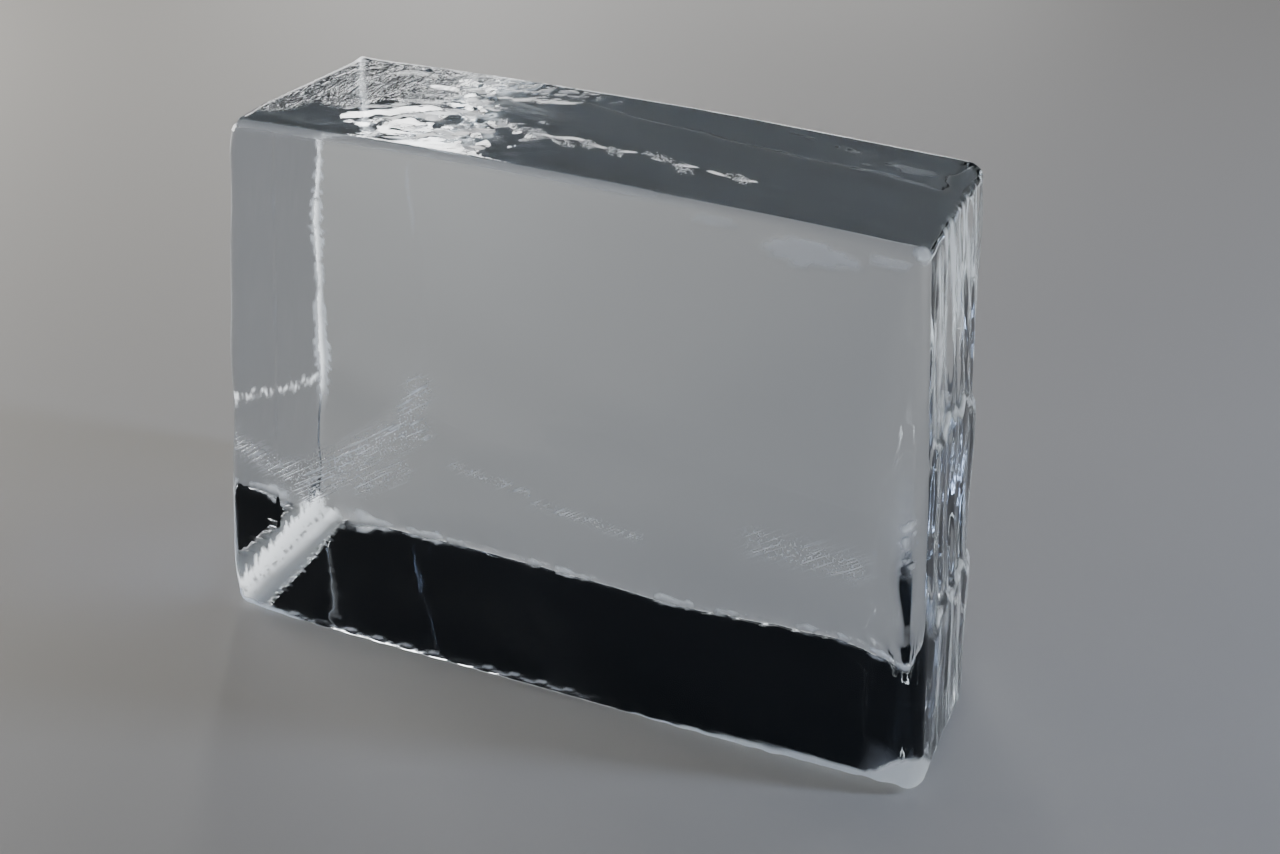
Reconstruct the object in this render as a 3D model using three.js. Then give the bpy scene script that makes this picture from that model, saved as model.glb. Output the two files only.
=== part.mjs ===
// A clear block of ice that stands on its long narrow side.
// It is one solid: a sawn cuboid, a little out of square, whose edges and faces have begun to melt.
// X runs along its length, Y through its thickness from front to back, and Z up from its base.
// The origin is the middle of the base.
import * as THREE from 'three';
import { mergeVertices } from 'three/addons/utils/BufferGeometryUtils.js';

// Overall size, in millimetres
const HEIGHT = 230;
const LENGTH = 270;
const THICKNESS = 110;

// How far the sawn faces stand out of square, in millimetres
const BASE_LEFT_SPREAD = 23;
const BASE_RIGHT_SPREAD = 13;
const BASE_BACK_SPREAD = [11, 8];
const END_TURN = 7;
const TOP_FALL = 16;
const TOP_RISE_LEFT = 1.4;
const TOP_CROWN = 2.8;

// Radii of the melted edges, in millimetres
const EDGE_RADIUS = 3.2;
const LEFT_BASE_RADIUS = 12;
const LEFT_FOOT_RADIUS = 6;
const RIGHT_FOOT_RADIUS = 7;
const FRONT_RIGHT_RADIUS = 5;
const LEFT_CORNER_RADIUS = 7;

// The back right upright edge, melted away towards its foot, in millimetres
const BACK_RIGHT_TOP_RADIUS = 9;
const BACK_RIGHT_FOOT_RADIUS = 59;
const BACK_RIGHT_GROWTH = 0.65;

// Melt relief, in millimetres
const FACE_WAVE = 0.45;
const FACE_WAVE_LENGTH = 120;
const FLUTE_DEPTH = 1.1;
const FLUTE_SPACING = 17;
const LEDGE_STEP = 1.4;
const LEDGE_HEIGHTS = [148, 70];
const LEDGE_FALLS = [24, 20];
const FOOT_SWELL = 2;
const FOOT_SWELL_HEIGHT = 40;
const BASE_SCALLOP_DEPTH = 1.1;
const BASE_SCALLOP_LENGTH = 23;
const BASE_SCALLOP_BAND = 14;
const TOP_LUMP = 0.7;
const ROUGH_PATCH = [-60, 60];
const CHIP_DEPTH = 1.3;
const CHIP_CENTRE = [93, 220];
const CHIP_SIZE = [24, 5];

// Grid of the surface: steps close to each edge, then an even spacing between them, in millimetres
const EDGE_STEPS = [0, 1.2, 3.2, 7];
const LENGTH_SPACING = 8.8;
const THICKNESS_SPACING = 6.5;
const HEIGHT_SPACING = 9;

// The cuboid before it is drawn out of square
const HALF = new THREE.Vector3(LENGTH / 2, THICKNESS / 2, HEIGHT / 2);

const { smoothstep, lerp } = THREE.MathUtils;

// Fades from 1 at the middle of a patch to 0 well outside it
function bump(x, middle, width) {
  return Math.exp(-(((x - middle) / width) ** 2));
}

// Places along one side of the cuboid, closer together where the edges round over
function gridLines(side, spacing) {
  const margin = EDGE_STEPS.at(-1);
  const steps = Math.round((side - 2 * margin) / spacing);
  const lines = EDGE_STEPS.slice(0, -1);
  for (let i = 0; i <= steps; i++) lines.push(lerp(margin, side - margin, i / steps));
  for (const step of EDGE_STEPS.slice(0, -1).reverse()) lines.push(side - step);
  return lines.map((line) => line - side / 2);
}

// Radius of the melted edge nearest to a point of the cuboid. It is larger along the left of the base,
// where it grows towards the back, at both ends of the front foot, up the front right edge and at the
// top left front corner.
function edgeRadius(p) {
  const along = p.x / HALF.x;
  const across = p.y / HALF.y;
  const up = p.z / HEIGHT + 0.5;
  const low = 1 - smoothstep(up, 0.02, 0.12);
  const front = 1 - smoothstep(across, -0.6, 0.4);
  const leftBase = low * (1 - smoothstep(along, -1, -0.86)) * smoothstep(across, -1, 0.6);
  const leftFoot = low * (1 - smoothstep(along, -1, -0.8)) * front;
  const rightFoot = low * smoothstep(along, 0.3, 1) * front;
  const frontRight = smoothstep(along, 0.9, 1) * (1 - smoothstep(across, -1, -0.7));
  const topLeft = smoothstep(up, 0.93, 1) * (1 - smoothstep(along, -1, -0.94)) * (1 - smoothstep(across, -1, -0.5));
  return Math.max(
    lerp(EDGE_RADIUS, LEFT_BASE_RADIUS, leftBase),
    lerp(EDGE_RADIUS, LEFT_FOOT_RADIUS, leftFoot),
    lerp(EDGE_RADIUS, RIGHT_FOOT_RADIUS, rightFoot),
    lerp(EDGE_RADIUS, FRONT_RIGHT_RADIUS, frontRight),
    lerp(EDGE_RADIUS, LEFT_CORNER_RADIUS, topLeft),
  );
}

// Long shallow waves over the broad faces
function faceWaves(p) {
  const turn = (2 * Math.PI) / FACE_WAVE_LENGTH;
  const slow = Math.sin(turn * (p.x + 0.4 * p.z) + 1.1) * Math.cos(turn * 0.8 * p.z - 0.6);
  const quick = Math.sin(turn * 2.3 * p.z + turn * 0.7 * p.x + Math.sign(p.y));
  return FACE_WAVE * (slow + 0.4 * quick);
}

// Upright flutes that water has cut down the right end, strongest near its top
function endFlutes(p) {
  const up = p.z / HEIGHT + 0.5;
  const wander = 2.2 * Math.sin(p.z / 31) + 1.3 * Math.sin(p.z / 13 + 1);
  const wave = Math.sin((2 * Math.PI * (p.y + wander)) / FLUTE_SPACING);
  const fade = smoothstep(HALF.y - Math.abs(p.y), 2, 14);
  return FLUTE_DEPTH * wave * fade * lerp(0.45, 1, smoothstep(up, 0.5, 0.95));
}

// Jagged ledges across the right end, falling towards the back: the ice below each one stands proud
function endLedges(p) {
  let proud = 0;
  LEDGE_HEIGHTS.forEach((height, i) => {
    const edge = height - LEDGE_FALLS[i] * smoothstep(p.y / HALF.y, -0.2, 0.9);
    const jag = 2.5 * Math.sin(p.y / 4.1 + 2 * i);
    const above = p.z + HALF.z - edge - jag;
    const below = 1 - smoothstep(above, -1.5, 4);
    proud += LEDGE_STEP * below * smoothstep(above, -45, -2);
  });
  return proud * smoothstep(HALF.y - Math.abs(p.y), 2, 16);
}

// The foot of the front face swells towards the right corner
function footSwell(p) {
  const low = 1 - smoothstep(p.z + HALF.z, 0, FOOT_SWELL_HEIGHT);
  return FOOT_SWELL * low * smoothstep(p.x / HALF.x, 0.1, 1);
}

// Scallops where the foot of the block has melted along the front and the back
function baseScallops(p) {
  const height = p.z + HALF.z;
  const band = 1 - smoothstep(height, 2, BASE_SCALLOP_BAND);
  const wave = Math.abs(Math.sin((Math.PI * (p.x + 3 * Math.sin(p.x / 40))) / BASE_SCALLOP_LENGTH));
  return BASE_SCALLOP_DEPTH * (wave - 1) * band;
}

// A long shallow flake lost just under the front top edge
function topChip(p) {
  const across = bump(p.x, CHIP_CENTRE[0], CHIP_SIZE[0]);
  const up = bump(p.z + HALF.z, CHIP_CENTRE[1], CHIP_SIZE[1]);
  return -CHIP_DEPTH * across * up;
}

// Low lumps of the top face, rougher towards its left
function topLumps(p) {
  const rough = 0.35 + 0.65 * bump(p.x, ROUGH_PATCH[0], ROUGH_PATCH[1]);
  const lumps = Math.sin(p.x / 9.5 + 0.6 * Math.sin(p.y / 8)) * Math.cos(p.y / 9 + p.x / 37);
  return TOP_LUMP * rough * lumps * smoothstep(HALF.y - Math.abs(p.y), 3, 12);
}

// Relief at a point whose outward direction is n, measured along n
function relief(p, n) {
  let depth = Math.abs(n.y) * (faceWaves(p) + baseScallops(p));
  if (n.y < 0) depth += Math.abs(n.y) * (topChip(p) + footSwell(p));
  if (n.x > 0) depth += n.x ** 2 * (endFlutes(p) + endLedges(p));
  if (n.x < 0) depth += n.x ** 2 * faceWaves(p);
  if (n.z > 0) depth += n.z ** 2 * topLumps(p);
  return depth;
}

// Draws the square plan corner of the back right edge in to a quarter circle, wider towards its foot
function meltBackRight(p) {
  const low = Math.max(0.5 - p.z / HEIGHT, 0);
  const radius = lerp(BACK_RIGHT_TOP_RADIUS, BACK_RIGHT_FOOT_RADIUS, low ** BACK_RIGHT_GROWTH);
  const x = p.x - HALF.x + radius;
  const y = p.y - HALF.y + radius;
  if (x <= 0 || y <= 0) return;
  const drawn = Math.max(x, y) / Math.hypot(x, y);
  p.x += x * (drawn - 1);
  p.y += y * (drawn - 1);
}

// Draws the cuboid out of square: longer and thicker at the base, its ends turned to the left towards
// the back, its top falling to the back and crowned along the middle
function outOfSquare(p) {
  const low = 0.5 - p.z / HEIGHT;
  const back = p.y / THICKNESS + 0.5;
  const along = p.x / HALF.x;
  const right = along / 2 + 0.5;
  const crown = (1 - smoothstep(low, 0, 0.2)) * (1 - along ** 2);
  p.x += low * lerp(-BASE_LEFT_SPREAD, BASE_RIGHT_SPREAD, right) - END_TURN * back * (1 - 0.75 * low);
  p.y += low * back * lerp(BASE_BACK_SPREAD[0], BASE_BACK_SPREAD[1], right);
  p.z += (1 - low) * (TOP_RISE_LEFT * (1 - right) - TOP_FALL * back) + TOP_CROWN * crown;
}

// The whole skin of the block as one closed mesh
function iceGeometry() {
  const xs = gridLines(LENGTH, LENGTH_SPACING);
  const ys = gridLines(THICKNESS, THICKNESS_SPACING);
  const zs = gridLines(HEIGHT, HEIGHT_SPACING);
  const geometry = new THREE.BoxGeometry(2, 2, 2, xs.length - 1, ys.length - 1, zs.length - 1);
  geometry.deleteAttribute('uv');
  geometry.deleteAttribute('normal');
  const skin = mergeVertices(geometry, 1e-4);
  const position = skin.getAttribute('position');
  const line = (value, lines) => lines[Math.round(((value + 1) / 2) * (lines.length - 1))];
  const p = new THREE.Vector3();
  const core = new THREE.Vector3();
  const out = new THREE.Vector3();
  for (let i = 0; i < position.count; i++) {
    p.set(line(position.getX(i), xs), line(position.getY(i), ys), line(position.getZ(i), zs));
    const radius = edgeRadius(p);
    const inner = HALF.clone().subScalar(radius);
    core.copy(p).clamp(inner.clone().negate(), inner);
    out.copy(p).sub(core).normalize();
    p.copy(core).addScaledVector(out, radius);
    const depth = relief(p, out);
    const rise = Math.max(out.z, 0) * depth;
    p.set(p.x + out.x * depth, p.y + out.y * depth, p.z + rise);
    meltBackRight(p);
    outOfSquare(p);
    position.setXYZ(i, p.x, p.y, p.z);
  }
  skin.computeBoundingBox();
  const middle = skin.boundingBox.getCenter(new THREE.Vector3());
  skin.translate(-middle.x, -middle.y, -skin.boundingBox.min.z);
  skin.computeVertexNormals();
  return skin;
}

const clearIce = new THREE.MeshStandardMaterial({
  color: 0xdfe9ee,
  roughness: 0.06,
  metalness: 0,
  transparent: true,
  opacity: 0.45,
});

const iceBlock = new THREE.Mesh(iceGeometry(), clearIce);
iceBlock.name = 'ice_block';

const group = new THREE.Group();
group.name = 'ice';
group.add(iceBlock);

export default group;
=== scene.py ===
import math

import bpy
import numpy as np
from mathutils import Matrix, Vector


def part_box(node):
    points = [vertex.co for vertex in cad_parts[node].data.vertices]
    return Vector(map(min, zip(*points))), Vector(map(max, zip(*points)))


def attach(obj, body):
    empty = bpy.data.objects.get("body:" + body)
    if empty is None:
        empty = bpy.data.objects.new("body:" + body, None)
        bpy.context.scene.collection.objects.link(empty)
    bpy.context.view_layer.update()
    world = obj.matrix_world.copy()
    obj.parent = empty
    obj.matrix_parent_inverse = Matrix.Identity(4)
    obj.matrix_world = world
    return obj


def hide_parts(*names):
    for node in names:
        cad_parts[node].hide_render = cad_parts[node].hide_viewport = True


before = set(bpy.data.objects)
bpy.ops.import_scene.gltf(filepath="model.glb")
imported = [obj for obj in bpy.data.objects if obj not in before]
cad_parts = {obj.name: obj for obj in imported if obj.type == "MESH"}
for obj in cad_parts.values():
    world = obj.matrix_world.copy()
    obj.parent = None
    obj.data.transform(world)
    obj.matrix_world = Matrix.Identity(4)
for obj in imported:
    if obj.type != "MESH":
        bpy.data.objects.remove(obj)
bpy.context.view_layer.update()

MM = 0.001

# Driving sizes of the block in millimetres, as in its solid
HEIGHT = 230.0
LENGTH = 270.0
THICKNESS = 110.0
BASE_LEFT_SPREAD = 23.0
BASE_RIGHT_SPREAD = 13.0
BASE_BACK_SPREAD = (11.0, 8.0)
END_TURN = 7.0
TOP_FALL = 16.0
TOP_RISE_LEFT = 1.4
TOP_CROWN = 2.8
HALF = np.array([LENGTH, THICKNESS, HEIGHT]) / 2

# Radii of the melted edges in millimetres
EDGE_RADIUS = 3.2
LEFT_BASE_RADIUS = 12.0
LEFT_FOOT_RADIUS = 6.0
RIGHT_FOOT_RADIUS = 7.0
FRONT_RIGHT_RADIUS = 5.0
LEFT_CORNER_RADIUS = 7.0
BACK_LEFT_RADIUS = 1.4
BACK_RIGHT_TOP_RADIUS = 9.0
BACK_RIGHT_FOOT_RADIUS = 59.0
BACK_RIGHT_GROWTH = 0.65

# Relief in millimetres: the length of each wave, scallop, flute and dimple, and how far a form stands out
WAVE_LENGTH = 120.0
FLUTE_SPACING = 17.0
LEDGE_STEP = 1.4
LEDGE_FADE = 45.0
SCALLOP_LENGTH = 11.5
FOOT_SWELL = 2.0
FOOT_SWELL_HEIGHT = 40.0
FOOT_WAVE_LENGTH = 9.0
DIMPLE_SPACING = 5.2

# Ledges of the right end: height at the front and fall to the back in millimetres, and phase of the jags
LEDGES = [(148, 24, 0), (70, 20, 1)]
# Width of the white line along each ledge in millimetres, partly frost and partly a painted highlight
LEDGE_LINE_WIDTH = 1.3

# Broken white line across the left end, partly frost and partly painted glints: height at the front in
# millimetres and fall for each millimetre back
LEFT_LINE_HEIGHT = 105.0
LEFT_LINE_FALL = 0.24

# Flakes lost under the front top edge in millimetres: X, height, half length, half height and depth
CHIPS = [(93, 220, 20, 5, 0.8), (121, 223, 8, 2.6, 0.5), (60, 224, 10, 2.2, 0.4)]

# On the top in millimetres: the melted patch by its middle and reach along X and then along Y, and by the X
# and Y of their ends the low ridge along it and the rough band across it, from front to back. The patch
# and the band are also painted bright in parts as a caustic.
TOP_PATCH = ((-56, 27), (-21, 29))
TOP_RIDGE = ((-28, -15), (72, -27))
TOP_BAND = ((-38, -48), (-75, 50))

# Worn strokes, partly real scratches and partly painted glints and sparkles, in millimetres, each from a
# start to an end with a width and a strength from 0 to 1: on the front by X and height
FRONT_STROKES_AND_GLINTS = [
    ((-94, 80), (-64, 108), 6, 1),
    ((-68, 104), (-56, 112), 6, 1),
    ((-61, 112), (-54, 132), 5, 0.9),
    ((-78, 80), (-62, 92), 5, 0.6),
    ((-132, 86), (-100, 72), 5, 0.5),
    ((-110, 78), (-80, 88), 4, 0.6),
    ((-40, 100), (-10, 96), 2.4, 0.5),
    ((-7, 92), (32, 88), 2.4, 0.5),
    ((77, 99), (109, 98), 6, 0.6),
]
# and on the top by X and Y: the first three are scratches, and the short ones after them are painted glints
TOP_STROKES_AND_GLINTS = [
    ((-128, -30), (-118, 44), 6, 0.25),
    ((-108, -10), (-98, 46), 7, 0.25),
    ((-84, 10), (-76, 46), 8, 0.4),
    ((-25, -12), (-21, -20), 1.8, 1),
    ((-14, -17), (-8, -22), 1.6, 0.8),
    ((-4, -14), (0, -19), 1.6, 0.9),
    ((8, -17), (12, -21), 1.8, 1),
    ((22, -14), (30, -18), 1.5, 0.7),
    ((36, -20), (40, -27), 1.6, 0.9),
    ((56, -20), (62, -26), 1.6, 0.7),
]

# Grid of the skin in millimetres: steps close to each edge, then an even spacing
EDGE_STEPS = (0.0, 0.5, 1.0, 1.6, 2.3, 3.2, 4.6, 6.4)
SPACING = (1.8, 1.7, 1.8)

# Texture of the skin: sizes in millimetres, and for each way that the cuts run its turns in degrees
MELT_SIZE = 14.0
PIT_SIZE = 1.6
CUT_WIDTH = 0.8
CUT_STRETCH = 20.0
CUT_TURNS = ((0.0, -35.0, 0.0), (0.0, 0.0, 100.0))
CUT_PEAKS = (0.57, 0.7)
SKIN_DEPTH = 0.1
FINE_HEIGHT = 4.0

# Ice: see-through by its index of refraction, with a tint that deepens on the way through, for each metre
ICE_IOR = 1.31
ICE_TINT = "#cfe4ef"
ICE_ABSORPTION = 1.2
ICE_COLOUR = "#fbfdff"
# White of the frost and how much of the clear ice it replaces: partly real frosted skin and partly painted
# highlights and glints standing in for light refracted through the melted edges
FROST_AND_GLINT_COLOUR = "#f4f8fc"
FROST_AND_GLINT_SHARE = 0.95
WET_ROUGHNESS = 0.012
WORN_ROUGHNESS = 0.3

# The camera stands where the photograph was taken from, in degrees, metres and, for the lens, millimetres
CAMERA_AZIMUTH = 23.07
CAMERA_ELEVATION = 28.56
CAMERA_DISTANCE = 0.7911
CAMERA_AIM = Vector((0.0066, 0.0150, 0.1468))
CAMERA_SHIFT = -0.1
CAMERA_NEAR = 0.01
LENS = 55.8

# The floor: how far it reaches from the middle and how far it lies under the base, in metres
FLOOR_REACH = 3.0
FLOOR_GAP = 0.0006
FLOOR_COLOUR = "#b9b5ae"
FLOOR_ROUGHNESS = 0.55

# Soft lights in metres and watts: name, place, aim, width and height, power and colour
MIDDLE = (0, 0, 0.1)
SOFTBOXES = [
    ("over", (-0.2, 0.3, 1.5), MIDDLE, (1.0, 1.0), 1.0, "#ffffff"),
    ("low_left", (-1.1, 0.0, 0.15), MIDDLE, (0.9, 0.28), 15, "#ffffff"),
    ("low_back", (-0.6, 1.4, 0.2), MIDDLE, (1.0, 0.3), 3.5, "#ffffff"),
    ("low_front", (-0.9, -1.0, 0.3), MIDDLE, (0.4, 0.3), 3, "#ffffff"),
    ("behind_left", (-0.8, 1.35, 0.62), MIDDLE, (0.16, 0.3), 3, "#ffffff"),
    ("behind_high", (0.1, 1.0, 1.2), MIDDLE, (0.6, 0.3), 1.8, "#ffffff"),
    ("behind_right", (1.0, 1.0, 0.35), MIDDLE, (0.35, 0.4), 4, "#f0f4ff"),
    ("right_end", (1.1, 0.2, 0.55), (0.15, 0, 0.15), (0.12, 0.6), 7, "#c4d8ff"),
]
ROOM_COLOUR = "#46505e"
ROOM_STRENGTH = 0.05


def linear(colour):
    """sRGB hex such as #d8dcde as linear red, green, blue and an alpha of 1."""
    parts = [int(colour[i : i + 2], 16) / 255 for i in (1, 3, 5)]
    return [c / 12.92 if c <= 0.04045 else ((c + 0.055) / 1.055) ** 2.4 for c in parts] + [1.0]


def smooth(x, low, high):
    """Rises from 0 at low to 1 at high along 3t² − 2t³."""
    t = np.clip((x - low) / (high - low), 0.0, 1.0)
    return t * t * (3.0 - 2.0 * t)


def mix(a, b, t):
    """The value a fraction t of the way from a to b."""
    return a + (b - a) * t


def bump(x, middle, width):
    """1 at the middle of a patch, falling away as a bell of that width."""
    return np.exp(-(((x - middle) / width) ** 2))


def ripple(p, lengths, seed, octaves=3):
    """Smooth irregular relief between about -1 and 1: a sum of plane waves of random direction and phase,
    each octave half as long and half as high as the last. lengths are the longest wave along X, Y and Z."""
    random = np.random.default_rng(seed)
    total = np.zeros(len(p))
    for octave in range(octaves):
        for _ in range(5):
            turn = random.normal(size=3)
            turn *= 2.0 * math.pi * 2.0**octave / (np.linalg.norm(turn) * np.array(lengths))
            total += 0.5**octave * np.sin(p @ turn + random.uniform(0.0, 2.0 * math.pi))
    return total / 4.0


def segment_distance(flat, start, end):
    """Distance of points in a plane from the line between two points of it."""
    start, end = np.array(start, float), np.array(end, float)
    share = np.clip((flat - start) @ (end - start) / np.sum((end - start) ** 2), 0, 1)
    return np.linalg.norm(flat - start - share[:, None] * (end - start), axis=1)


def grid_lines(side, spacing):
    """Places along one side: the edge steps at both ends and an even spacing between them."""
    margin = EDGE_STEPS[-1]
    near = np.array(EDGE_STEPS[:-1])
    steps = round((side - 2 * margin) / spacing)
    middle = np.linspace(margin, side - margin, steps + 1)
    return np.concatenate([near, middle, side - near[::-1]]) - side / 2


def cuboid_grid():
    """Points and four-sided faces of a closed cuboid. Each of its six sides is a grid of two of the three
    axes, and points that two sides share are joined by their place on the grid."""
    axes = [grid_lines(side, step) for side, step in zip(2 * HALF, SPACING)]
    counts = np.array([len(a) for a in axes])
    places, faces, used = [], [], 0
    for axis in range(3):
        u, v = [a for a in range(3) if a != axis]
        for side in (0, counts[axis] - 1):
            i, j = np.meshgrid(np.arange(counts[u]), np.arange(counts[v]), indexing="ij")
            place = np.zeros((i.size, 3), int)
            place[:, u], place[:, v], place[:, axis] = i.ravel(), j.ravel(), side
            index = np.arange(i.size).reshape(i.shape) + used
            quads = np.stack([index[:-1, :-1], index[1:, :-1], index[1:, 1:], index[:-1, 1:]], -1)
            quads = quads.reshape(-1, 4)
            outward = (side > 0) == (axis != 1)
            faces.append(quads if outward else quads[:, ::-1])
            places.append(place)
            used += i.size
    place = np.concatenate(places)
    key = (place[:, 0] * counts[1] + place[:, 1]) * counts[2] + place[:, 2]
    _, first, joined = np.unique(key, return_index=True, return_inverse=True)
    place = place[first]
    points = np.stack([axes[a][place[:, a]] for a in range(3)], 1)
    return points, joined.reshape(-1)[np.concatenate(faces)]


def edge_radius(p):
    """Radius of the nearest melted edge: larger along the left of the base, at both ends of the front
    foot, up the front right edge and at the top left front corner, and smaller up the back left edge."""
    along, across, up = p[:, 0] / HALF[0], p[:, 1] / HALF[1], p[:, 2] / HEIGHT + 0.5
    low = 1 - smooth(up, 0.02, 0.12)
    front = 1 - smooth(across, -0.6, 0.4)
    left_corner = smooth(up, 0.93, 1) * (1 - smooth(along, -1, -0.94)) * (1 - smooth(across, -1, -0.5))
    shares = [
        (LEFT_BASE_RADIUS, low * (1 - smooth(along, -1, -0.86)) * smooth(across, -1, 0.6)),
        (LEFT_FOOT_RADIUS, low * (1 - smooth(along, -1, -0.8)) * front),
        (RIGHT_FOOT_RADIUS, low * smooth(along, 0.3, 1) * front),
        (FRONT_RIGHT_RADIUS, smooth(along, 0.9, 1) * (1 - smooth(across, -1, -0.7))),
        (LEFT_CORNER_RADIUS, left_corner),
    ]
    radius = np.maximum.reduce([mix(EDGE_RADIUS, radius, share) for radius, share in shares])
    back_left = (1 - smooth(along, -1, -0.9)) * smooth(across, 0.8, 1) * smooth(up, 0.05, 0.12)
    return mix(radius, BACK_LEFT_RADIUS, back_left)


def face_waves(p):
    """Long shallow waves over the sawn faces, as two slanting sines, with a finer melt ripple on them."""
    turn = 2 * math.pi / WAVE_LENGTH
    slow = np.sin(turn * (p[:, 0] + 0.4 * p[:, 2]) + 1.1) * np.cos(turn * 0.8 * p[:, 2] - 0.6)
    quick = np.sin(turn * 2.3 * p[:, 2] + turn * 0.7 * p[:, 0] + np.sign(p[:, 1]))
    return 0.45 * (slow + 0.4 * quick) + 0.05 * ripple(p, (34, 34, 34), seed=3)


def end_flutes(p):
    """Upright flutes cut by running water down the right end: a wandering sine across the thickness,
    with finer streaks long in Z, strongest near the top and faded out at the upright edges."""
    up = p[:, 2] / HEIGHT + 0.5
    wander = 2.2 * np.sin(p[:, 2] / 31) + 1.3 * np.sin(p[:, 2] / 13 + 1)
    wave = np.sin(2 * math.pi * (p[:, 1] + wander) / FLUTE_SPACING)
    streaks = ripple(p, (200, 11, 90), seed=11)
    fade = smooth(HALF[1] - np.abs(p[:, 1]), 2, 14)
    fade *= smooth(HALF[2] - p[:, 2], 0, 12)
    return fade * (0.35 * wave + 0.6 * streaks) * mix(0.4, 1, smooth(up, 0.5, 0.95))


def above_ledge(p, height, fall, phase):
    """Height of each point above a jagged ledge of the right end that falls towards the back: its line is
    the height less the fall as it nears the back, with two sines across the thickness as its jags."""
    jag = 2.5 * np.sin(p[:, 1] / 4.1 + 2 * phase) + 1.6 * np.sin(p[:, 1] / 1.9 + phase)
    return p[:, 2] + HALF[2] - height + fall * smooth(p[:, 1] / HALF[1], -0.2, 0.9) - jag


def end_ledges(p):
    """The ledges across the right end. Above its line each one steps inward over a few millimetres, and
    below it the step fades."""
    proud = np.zeros(len(p))
    for ledge in LEDGES:
        above = above_ledge(p, *ledge)
        proud += LEDGE_STEP * (1 - smooth(above, -0.6, 1.6)) * smooth(above, -LEDGE_FADE, -2)
    return proud * smooth(HALF[1] - np.abs(p[:, 1]), 2, 16)


def foot_run(x):
    """Distance along the foot, which drifts by a slow sine so that the scallops differ in length."""
    return x + 3 * np.sin(x / 40)


def base_scallops(p):
    """Scallops where the foot has melted along the front and the back: arches that meet in cusps, as the
    size of a sine, in a band 14 mm high, with a second row of smaller arches above."""
    height = p[:, 2] + HALF[2]
    run = foot_run(p[:, 0])
    wave = np.abs(np.sin(math.pi * run / SCALLOP_LENGTH))
    upper = np.abs(np.sin(math.pi * (run + 4) / SCALLOP_LENGTH))
    lower_row = 0.9 * (wave - 1) * (1 - smooth(height, 2, 8))
    upper_row = 0.35 * (upper - 1) * (1 - smooth(height, 5, 14))
    return lower_row + upper_row


def foot_swell(p):
    """The foot of the front face swells towards the right corner, more the lower it is."""
    low = 1 - smooth(p[:, 2] + HALF[2], 0, FOOT_SWELL_HEIGHT)
    return FOOT_SWELL * low * smooth(p[:, 0] / HALF[0], 0.1, 1)


def front_chips(p):
    """Shallow flakes lost just under the front top edge, each an ellipse with a ragged crisp rim."""
    ragged = 0.35 * ripple(p, (22, 22, 14), seed=21, octaves=2)
    depth = np.zeros(len(p))
    for x, z, long, tall, deep in CHIPS:
        away = ((p[:, 0] - x) / long) ** 2 + ((p[:, 2] + HALF[2] - z) / tall) ** 2
        depth -= deep * (1 - smooth(away + ragged, 0.55, 1.1))
    return depth


def top_patch(p):
    """1 in the melted patch of the top, left of its middle and towards the front, falling to 0 round it."""
    along, across = TOP_PATCH
    return bump(p[:, 0], *along) * bump(p[:, 1], *across)


def top_lumps(p):
    """Low lumps of the top face, calmer at its left end, with a patch and a band melted into dimples and
    from there a wriggling low ridge to the right, which is a bell across its line."""
    lumps = np.sin(p[:, 0] / 9.5 + 0.6 * np.sin(p[:, 1] / 8)) * np.cos(p[:, 1] / 9 + p[:, 0] / 37)
    dimples = ripple(p, (15, 13, 15), seed=31)
    edge = smooth(HALF[1] - np.abs(p[:, 1]), 3, 12)
    from_ridge = segment_distance(p[:, :2] + 1.5 * np.sin(p[:, :1] / 4), *TOP_RIDGE)
    ridge = bump(from_ridge, 0, 2.6) * (0.6 + 0.4 * np.sin(p[:, 0] / 1.9))
    calm = mix(0.4, 1, bump(p[:, 0], -45, 50)) * smooth(p[:, 0], -132, -90)
    rough = ripple(p, (10, 10, 10), seed=32, octaves=2)
    band = 0.6 * bump(segment_distance(p[:, :2], *TOP_BAND), 0, 7) * rough
    return edge * (0.3 * calm * lumps + 0.6 * top_patch(p) * dimples + 0.45 * ridge + band)


def left_dimples(p, out):
    """A chain of small dimples and lumps along the rounded left side of the base, from front to back."""
    slope = bump(-out[:, 2], 0.7, 0.28) * smooth(-out[:, 0], 0.1, 0.6)
    chain = np.cos(2 * math.pi * p[:, 1] / DIMPLE_SPACING + 1.2 * np.sin(p[:, 1] / 6))
    lumps = 0.22 * ripple(p, (14, 14, 14), seed=41) + 0.35 * ripple(p, (9, 7, 9), seed=42, octaves=2)
    return slope * (0.1 * chain + lumps)


def foot_waves(p, out):
    """Waves along the rounded front foot, growing from the middle to the right corner."""
    slope = bump(-out[:, 2], 0.6, 0.35) * smooth(-out[:, 1], 0.1, 0.6) * smooth(p[:, 0] / HALF[0], 0.0, 0.9)
    wave = np.sin(2 * math.pi * p[:, 0] / FOOT_WAVE_LENGTH + np.sin(p[:, 0] / 11))
    return slope * (0.35 * wave + 0.3 * ripple(p, (16, 10, 8), seed=43, octaves=2))


def relief(p, out):
    """Depth of all the relief along the outward direction of each point."""
    front, back = np.clip(-out[:, 1], 0, 1), np.clip(out[:, 1], 0, 1)
    right, left = np.clip(out[:, 0], 0, 1), np.clip(-out[:, 0], 0, 1)
    depth = (front + back) * (face_waves(p) + base_scallops(p))
    depth += front * (front_chips(p) + foot_swell(p))
    depth += right**2 * (end_flutes(p) + end_ledges(p)) + left**2 * face_waves(p)
    depth += np.clip(out[:, 2], 0, 1) ** 2 * top_lumps(p)
    return depth + left_dimples(p, out) + foot_waves(p, out)


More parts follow.
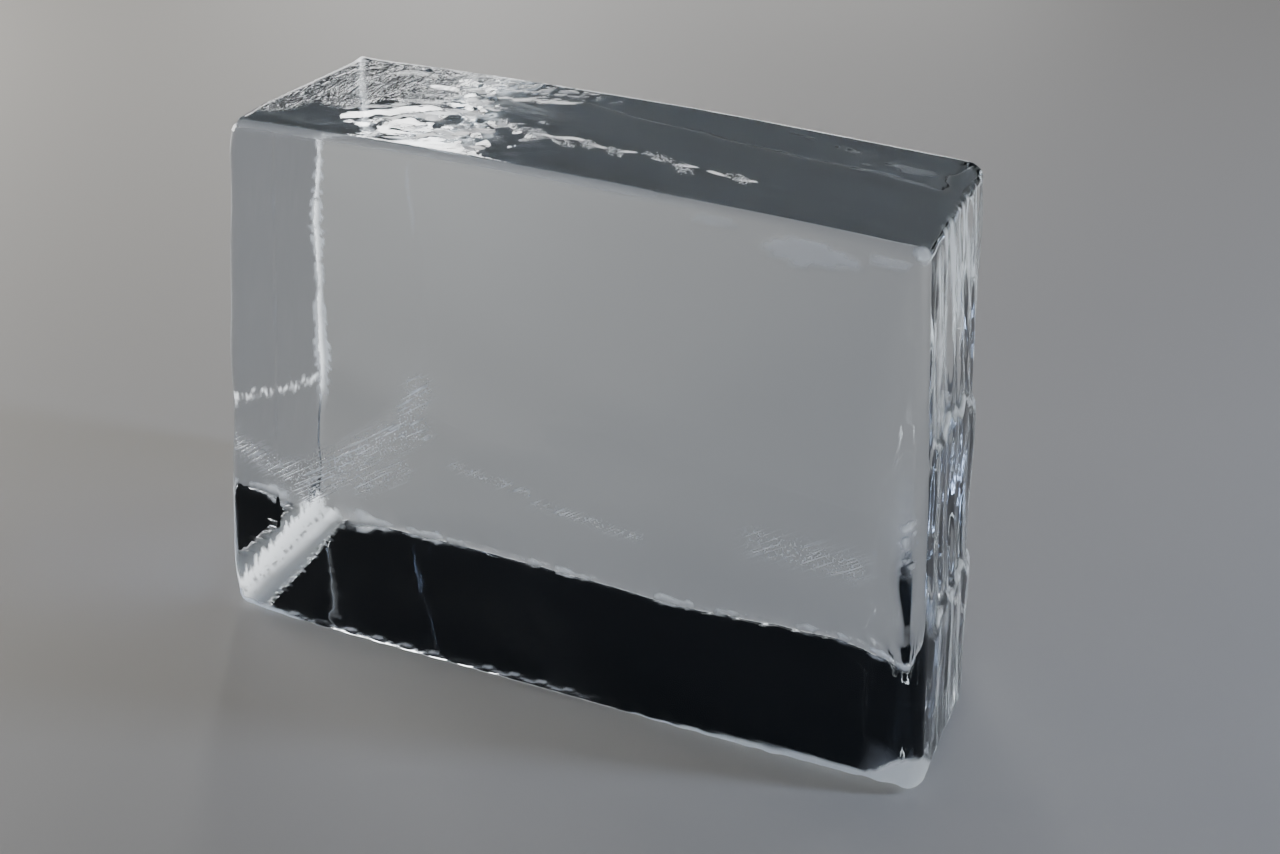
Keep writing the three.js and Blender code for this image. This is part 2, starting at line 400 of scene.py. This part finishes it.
def melt_back_right(p):
    """The back right upright edge, melted away towards its foot: the square plan corner within a radius
    that grows to the foot is drawn in to a quarter circle, each point by max(x, y) / |(x, y)|."""
    low = np.clip(0.5 - p[:, 2] / HEIGHT, 0, None)
    radius = mix(BACK_RIGHT_TOP_RADIUS, BACK_RIGHT_FOOT_RADIUS, low**BACK_RIGHT_GROWTH)
    past = np.clip(p[:, :2] - HALF[:2] + radius[:, None], 0, None)
    corner = past.min(1) > 0
    drawn = np.where(corner, past.max(1) / np.maximum(np.hypot(past[:, 0], past[:, 1]), 1e-9), 1)
    return np.column_stack([p[:, :2] + past * (drawn - 1)[:, None], p[:, 2]])


def out_of_square(p):
    """Longer and thicker at the base, its ends turned to the left towards the back, its top falling to
    the back and crowned along the middle: each coordinate is moved by its height and depth."""
    low = 0.5 - p[:, 2] / HEIGHT
    back = p[:, 1] / THICKNESS + 0.5
    along = p[:, 0] / HALF[0]
    right = along / 2 + 0.5
    crown = (1 - smooth(low, 0, 0.2)) * (1 - along**2)
    spread = mix(-BASE_LEFT_SPREAD, BASE_RIGHT_SPREAD, right)
    return np.stack([
        p[:, 0] + low * spread - END_TURN * back * (1 - 0.75 * low),
        p[:, 1] + low * back * mix(*BASE_BACK_SPREAD, right),
        p[:, 2] + (1 - low) * (TOP_RISE_LEFT * (1 - right) - TOP_FALL * back) + TOP_CROWN * crown,
    ], 1)


class Skin:
    """Points of the skin with what their frost, scores and painted highlights and glints are worked out
    from: the way each one faces, its distance in millimetres from each side of the cuboid, and seeded
    ripples. Ragged ones are 14 mm long, fine ones 5 mm, patchy ones 30 mm and cut to between 0 and 1, and
    tongues 7 mm across and 30 mm tall."""

    def __init__(self, p, out):
        self.p, self.out = p, out
        self.x, self.y = p[:, 0], p[:, 1]
        self.left, self.front, self.above = (p + HALF).T
        self.right, self.back, self.below = (HALF - p).T
        self.faces_front = smooth(-out[:, 1], 0.8, 1)
        self.faces_top = smooth(out[:, 2], 0.8, 1)
        self.ragged = ripple(p, (14, 14, 14), seed=51)
        self.fine = ripple(p, (5, 5, 5), seed=53, octaves=2)
        self.patchy = smooth(ripple(p, (30, 30, 30), seed=52), -0.9, 0.1)
        self.tongues = ripple(p, (7, 6, 30), seed=55)


def scratches_and_glints(s):
    """Where the block is scored, from 0 to 1: short worn strokes on the front face, each a line between
    two places along X and height with a width, and strokes on the top face along X and Y. They are partly
    real scratches and partly painted glints and sparkles, which turn the skin white."""
    front_face, top_face = np.column_stack([s.x, s.above]), np.column_stack([s.x, s.y])
    scores_and_glints = np.zeros(len(s.p))
    for flat, facing, strokes in [
        (front_face, s.faces_front, FRONT_STROKES_AND_GLINTS),
        (top_face, s.faces_top, TOP_STROKES_AND_GLINTS),
    ]:
        for start, end, width, strength in strokes:
            stroke = strength * bump(segment_distance(flat, start, end), 0, width) * facing
            scores_and_glints = np.maximum(scores_and_glints, stroke)
    return scores_and_glints


def ribbon_frost_and_highlight(s):
    """A ragged ribbon along the left of the base, 11 to 13 mm by the sum of the distances from its two
    sides, frayed upwards into tongues, with a chain of clear dimples along its middle. The left end of
    the front foot and a thin line up the front left edge carry it on. Its white is partly real frost and
    partly a painted highlight for the light that the rounded edges gather from the left."""
    clear = smooth(np.sin(s.y + 2 * s.fine) + 2 * s.fine, 0.3, 0.9)
    chain = bump(s.left - s.above + 1.5 * s.ragged, -1, 2.0) * clear
    frayed = mix(1.5 * s.fine, 5 * s.tongues, smooth(s.above, 2, 8))
    # White ribbon, partly frost and partly a painted highlight
    ribbon = (1 - smooth(s.left + s.above + frayed, 11, 13)) * (1 - 0.7 * chain)
    foot = 1 - smooth(s.front + s.above + 0.14 * s.left + s.ragged, 5.5, 7)
    upright = 0.5 * (1 - smooth(s.left + s.front, 1.5, 3)) * (1 - smooth(s.above, 40, 60))
    return np.maximum.reduce([ribbon, foot, upright])


def front_foot_frost_and_highlights(s):
    """The front foot: to the right a lip that grows to 21 mm high at the corner, and to the left thin
    broken arches as long as the scallops. Both are white, partly as frost and partly as painted highlights
    along the melted foot."""
    reach = 1.2 + 7 * smooth(s.x, -5, 120) + 13 * smooth(s.x, 114, 136)
    lip = 0.8 * (1 - smooth(s.front + s.above + 0.4 * s.ragged, reach - 1.2, reach)) * smooth(s.x, -8, 4)
    arch = 2 + 2.4 * np.abs(np.sin(math.pi * foot_run(s.x) / SCALLOP_LENGTH))
    arches = 0.8 * bump(s.above, arch, 0.6) * np.clip(-s.out[:, 1], 0, 1) * (1 - smooth(s.x, 0, 20))
    return np.maximum(lip, arches * s.patchy)


def back_edge_frost_and_highlights(s):
    """The back left edge, a frayed line that is thickest 90 mm up and fades out below 60 mm, the back
    foot, wider near the left corner, and a faint veil on the melted back right edge. The line and the
    foot are white partly as frost and partly as painted highlights for the light that these edges refract;
    the veil is painted lightening laid over the dark refraction at the back right edge."""
    thick = 1.0 + 1.9 * bump(s.above, 90, 14) + 0.6 * bump(s.above, 155, 45)
    frayed = s.left + s.back + 0.6 * s.ragged + s.fine
    upright = (1 - smooth(frayed, thick, thick + 1)) * mix(0.7, 1, s.patchy)
    upright *= mix(0.06, 1, smooth(s.above, 58, 84))
    reach = 1.4 + 4 * (1 - smooth(s.left, 12, 34))
    frayed = s.back + s.above + 0.8 * (s.ragged + s.tongues)
    foot = 0.9 * (1 - smooth(frayed, reach, reach + 1)) * s.patchy
    # Painted lightening over the dark refraction at the melted back right edge
    painted_veil = 0.16 * (1 - smooth(s.right + s.back + 3 * s.ragged, 14, 36))
    painted_veil *= smooth(s.above, 46, 62)
    painted_veil *= smooth(-s.above, -115, -75)
    return np.maximum.reduce([upright, foot, painted_veil])


def end_frost_and_glints(s):
    """A broken line across the left end, and on the right end upright streaks, whitest near the top, and
    a broken line along each ledge. Their white is partly frost and partly painted glints and highlights
    where the ends catch the lamps."""
    faces_left, faces_right = [np.clip(way * s.out[:, 0], 0, 1) ** 4 for way in (-1, 1)]
    # White line across the left end, partly frost and partly painted glints
    from_line = s.above - LEFT_LINE_HEIGHT + LEFT_LINE_FALL * s.front + 2 * s.ragged - 1.5 * s.fine
    left_line = 0.9 * bump(from_line, 0, 1.2) * faces_left
    left_line *= mix(0.1, 1, smooth(s.ragged + 1.5 * s.fine, -0.5, 0.4)) * smooth(s.front, 2, 8)
    # Upright white streaks on the right end, partly frost and partly painted glints
    streaks = smooth(ripple(s.p, (200, 8, 90), seed=12), 0.1, 0.5) * smooth(s.front, 8, 16) * faces_right
    streaks *= mix(0.35, 1, 1 - smooth(s.below + 14 * s.ragged, 30, 75))
    # White line along each ledge, partly frost and partly a painted highlight
    lines = np.maximum.reduce([bump(above_ledge(s.p, *ledge), 0, LEDGE_LINE_WIDTH) for ledge in LEDGES])
    lines *= faces_right * smooth(s.front, 5, 10) * smooth(s.ragged, -0.5, 0.1)
    return np.maximum.reduce([left_line, streaks, lines])


def top_frost_and_glints(s):
    """The left of the front top lip, the lost corner at its right end, and on the top face ragged parts
    of the melted patch and the band, with a speckle at the back. The parts of the patch and the band are
    a painted caustic."""
    lip = 0.4 * (1 - smooth(s.front + s.below, 2, 4)) * (1 - smooth(s.x, 20, 70))
    lost_corner = 1 - smooth(np.sqrt(s.right**2 + s.front**2 + s.below**2), 4.5, 6)
    # Painted caustic: ragged white in the melted patch and along the band of the top
    painted_caustic = 0.5 * s.faces_top * top_patch(s.p) * smooth(s.ragged, -0.2, 0.5)
    band = 0.5 * s.faces_top * bump(segment_distance(s.p[:, :2], *TOP_BAND), 0, 5)
    band *= smooth(s.ragged + s.fine, -0.6, 0.4)
    speckle = s.faces_top * bump(s.x, -52, 22) * bump(s.y, 44, 8) * smooth(s.fine, 0.0, 0.4)
    return np.maximum.reduce([lip, lost_corner, painted_caustic, band, speckle])


def front_frost(s):
    """A row of pits beside the right edge of the front, and the flakes under its top edge."""
    pits = bump(s.x, 130, 3) * bump(s.above, 115, 12) * smooth(s.fine, 0.0, 0.4) * s.faces_front
    flakes = 0.32 * smooth(-front_chips(s.p), 0.1, 0.5) * s.faces_front
    return np.maximum(pits, flakes)


def frost_and_glint_parts(s):
    """Where the skin is white, from 0 to 1, partly as real frost and partly as painted highlights, glints
    and
    a painted caustic: the whitest of its parts at each point.
    """
    parts = (ribbon_frost_and_highlight, front_foot_frost_and_highlights, back_edge_frost_and_highlights, end_frost_and_glints, top_frost_and_glints, front_frost)
    return np.maximum.reduce([part(s) for part in parts])


def ice_skin():
    """Points and faces of the block, and how far each point is frosted and scored, which paints it white
    partly as real frost and scratches and partly as painted highlights and glints. A cuboid's points are
    pulled in to a smaller cuboid by the edge radius, pushed back out by it along the line between the two,
    which rounds every edge and corner, then moved along that line by the relief, drawn in at the melted
    edge and drawn out of square. Relief moves no point down, so the base stays flat. The result is
    centred on the solid's box."""
    points, faces = cuboid_grid()
    radius = edge_radius(points)[:, None]
    core = np.clip(points, radius - HALF, HALF - radius)
    out = points - core
    out /= np.linalg.norm(out, axis=1, keepdims=True)
    points = core + out * radius
    skin = Skin(points, out)
    # Frost and scores, partly real and partly painted highlights and glints
    frost_scores_and_glints = frost_and_glint_parts(skin), scratches_and_glints(skin)
    depth = relief(points, out)[:, None]
    points = points + depth * np.column_stack([out[:, :2], np.clip(out[:, 2], 0, None)])
    points = out_of_square(melt_back_right(points))
    low, high = points.min(0), points.max(0)
    solid_low, solid_high = [np.array(corner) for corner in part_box("ice_block")]
    middle = (solid_low + solid_high) / 2
    points = (points - (low + high) / 2) * MM
    points[:, :2] += middle[:2]
    points[:, 2] += solid_low[2] - points[:, 2].min()
    return points, faces, frost_scores_and_glints


def make_ice_block(material):
    """The clear block as one closed mesh in place of its solid."""
    points, faces, frost_scores_and_glints = ice_skin()
    mesh = bpy.data.meshes.new("clear_block")
    mesh.from_pydata(points, [], faces)
    mesh.shade_smooth()
    # Attributes of the frost and scores, which also carry the painted highlights and glints
    for name, amount in zip(("frost_and_glints", "scores_and_glints"), frost_scores_and_glints):
        mesh.attributes.new(name, "FLOAT", "POINT").data.foreach_set("value", amount)
    mesh.materials.append(material)
    block = bpy.data.objects.new("clear_block", mesh)
    bpy.context.scene.collection.objects.link(block)
    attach(block, "root")
    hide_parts("ice_block")


def node(tree, kind, settings=None, links=None):
    """Adds a node of that kind, gives it its settings by attribute or socket name, and links its sockets."""
    made = tree.nodes.new(kind)
    for name, value in (settings or {}).items():
        if isinstance(name, str) and hasattr(made, name):
            setattr(made, name, value)
        else:
            made.inputs[name].default_value = value
    for name, source in (links or {}).items():
        tree.links.new(source, made.inputs[name])
    return made


def cut_lines(tree, place):
    """Fine cuts in two directions: for each a noise drawn out along them, of which only the peaks are
    kept. They are wider than real scratches, so that they show."""
    cuts = []
    for turns in CUT_TURNS:
        slant = node(tree, "ShaderNodeMapping", {
            "vector_type": "TEXTURE",
            "Rotation": [math.radians(turn) for turn in turns],
            "Scale": (CUT_STRETCH, 1.0, 1.0),
        }, {"Vector": place})
        noise = {"Scale": 1 / (CUT_WIDTH * MM), "Detail": 0.0}
        lines = node(tree, "ShaderNodeTexNoise", noise, {"Vector": slant.outputs["Vector"]})
        peaks = dict(zip(("From Min", "From Max"), CUT_PEAKS))
        cuts.append(node(tree, "ShaderNodeMapRange", peaks, {"Value": lines.outputs["Fac"]}))
    both = {i: cut.outputs["Result"] for i, cut in enumerate(cuts)}
    return node(tree, "ShaderNodeMath", {"operation": "MAXIMUM"}, both).outputs[0]


def clear_ice():
    """Clear ice, frozen slowly so that it holds no air: see-through with a faint blue depth. Its wet
    melted skin gives sharp glints, and a low ripple that bends what is seen through it. Pits and
    scratches catch the light where it is frosted and scored, and there the skin turns white and
    translucent: partly real frost and partly painted highlights and glints."""
    material = bpy.data.materials.new("clear_ice_melting")
    material.use_nodes = True
    tree = material.node_tree
    tree.nodes.clear()
    place = node(tree, "ShaderNodeTexCoord").outputs["Object"]
    frost_and_glints = node(tree, "ShaderNodeAttribute", {"attribute_name": "frost_and_glints"}).outputs["Fac"]
    scores_and_glints = node(tree, "ShaderNodeAttribute", {"attribute_name": "scores_and_glints"}).outputs["Fac"]
    melting = {"Scale": 1 / (MELT_SIZE * MM), "Detail": 1.0, "Roughness": 0.45}
    melt = node(tree, "ShaderNodeTexNoise", melting, {"Vector": place}).outputs["Fac"]
    pitting = {"Scale": 1 / (PIT_SIZE * MM), "Detail": 1.0}
    pits = node(tree, "ShaderNodeTexNoise", pitting, {"Vector": place}).outputs["Fac"]
    pitted = node(tree, "ShaderNodeMath", {"operation": "MULTIPLY"}, {0: frost_and_glints, 1: pits}).outputs[0]
    cuts = cut_lines(tree, place)
    score_and_glint = node(tree, "ShaderNodeMath", {"operation": "MULTIPLY"}, {0: scores_and_glints, 1: cuts}).outputs[0]
    fine = node(tree, "ShaderNodeMath", {"operation": "ADD"}, {0: pitted, 1: score_and_glint}).outputs[0]
    raised = {"operation": "MULTIPLY_ADD", 1: FINE_HEIGHT}
    height = node(tree, "ShaderNodeMath", raised, {0: fine, 2: melt}).outputs[0]
    depth = {"Strength": 1.0, "Distance": SKIN_DEPTH * MM}
    normal = node(tree, "ShaderNodeBump", depth, {"Height": height}).outputs["Normal"]
    # Frost and scores make the skin rough, and below they also paint it white, partly as frost and partly as
    # painted highlights and glints
    frost_and_glint_haze = node(tree, "ShaderNodeMath", {"operation": "MAXIMUM"}, {0: frost_and_glints, 1: score_and_glint}).outputs[0]
    dulled = {"operation": "MULTIPLY_ADD", 1: WORN_ROUGHNESS, 2: WET_ROUGHNESS}
    roughness = node(tree, "ShaderNodeMath", dulled, {0: frost_and_glint_haze}).outputs[0]
    clear = node(tree, "ShaderNodeBsdfPrincipled", {
        "Base Color": linear(ICE_COLOUR),
        "IOR": ICE_IOR,
        "Transmission Weight": 1.0,
    }, {"Normal": normal, "Roughness": roughness}).outputs["BSDF"]
    # White translucent skin, lit by the lamps from outside: partly real frost and partly painted highlights
    # and glints
    frost_glint_bsdf = node(tree, "ShaderNodeBsdfTranslucent", {"Color": linear(FROST_AND_GLINT_COLOUR)}).outputs["BSDF"]
    most = {"operation": "MULTIPLY", 1: FROST_AND_GLINT_SHARE, "use_clamp": True}
    share = node(tree, "ShaderNodeMath", most, {0: frost_and_glint_haze}).outputs[0]
    skin = node(tree, "ShaderNodeMixShader", None, {"Fac": share, 1: clear, 2: frost_glint_bsdf}).outputs["Shader"]
    tint = {"Color": linear(ICE_TINT), "Density": ICE_ABSORPTION}
    volume = node(tree, "ShaderNodeVolumeAbsorption", tint).outputs["Volume"]
    node(tree, "ShaderNodeOutputMaterial", None, {"Surface": skin, "Volume": volume})
    return material


def make_floor():
    """A plain pale floor just under the block's base."""
    material = bpy.data.materials.new("pale_floor")
    material.use_nodes = True
    shader = material.node_tree.nodes["Principled BSDF"]
    shader.inputs["Base Color"].default_value = linear(FLOOR_COLOUR)
    shader.inputs["Roughness"].default_value = FLOOR_ROUGHNESS
    mesh = bpy.data.meshes.new("floor")
    ways = ((-1, -1), (1, -1), (1, 1), (-1, 1))
    corners = [(x * FLOOR_REACH, y * FLOOR_REACH, -FLOOR_GAP) for x, y in ways]
    mesh.from_pydata(corners, [], [(0, 1, 2, 3)])
    mesh.materials.append(material)
    floor = bpy.data.objects.new("floor", mesh)
    bpy.context.scene.collection.objects.link(floor)


def add_softbox(name, place, aim, size, watts, colour):
    """A rectangular soft light at a place, turned to face its aim."""
    light = bpy.data.lights.new(name, "AREA")
    light.shape = "RECTANGLE"
    light.size, light.size_y = size
    light.energy = watts
    light.color = linear(colour)[:3]
    lamp = bpy.data.objects.new(name, light)
    lamp.location = place
    lamp.rotation_euler = (Vector(aim) - Vector(place)).to_track_quat("-Z", "Y").to_euler()
    bpy.context.scene.collection.objects.link(lamp)


def make_light():
    """Soft studio light in a dim room: a large box overhead, low ones at the left and behind, which the
    melted edges gather, smaller ones high behind for the top, and cool ones at the right."""
    for softbox in SOFTBOXES:
        add_softbox(*softbox)
    world = bpy.data.worlds.new("dim_room")
    world.use_nodes = True
    background = world.node_tree.nodes["Background"]
    background.inputs["Color"].default_value = linear(ROOM_COLOUR)
    background.inputs["Strength"].default_value = ROOM_STRENGTH
    bpy.context.scene.world = world


def make_camera():
    """The camera at the photograph's viewing angle: it stands off from its aim by azimuth and elevation."""
    turn, rise = math.radians(CAMERA_AZIMUTH), math.radians(CAMERA_ELEVATION)
    away = Vector((math.sin(turn) * math.cos(rise), -math.cos(turn) * math.cos(rise), math.sin(rise)))
    data = bpy.data.cameras.new("camera")
    data.lens = LENS
    data.shift_y = CAMERA_SHIFT
    data.clip_start = CAMERA_NEAR
    camera = bpy.data.objects.new("camera", data)
    camera.location = CAMERA_AIM + away * CAMERA_DISTANCE
    camera.rotation_euler = (-away).to_track_quat("-Z", "Y").to_euler()
    bpy.context.scene.collection.objects.link(camera)
    bpy.context.scene.camera = camera


make_camera()
make_ice_block(clear_ice())
make_floor()
make_light()
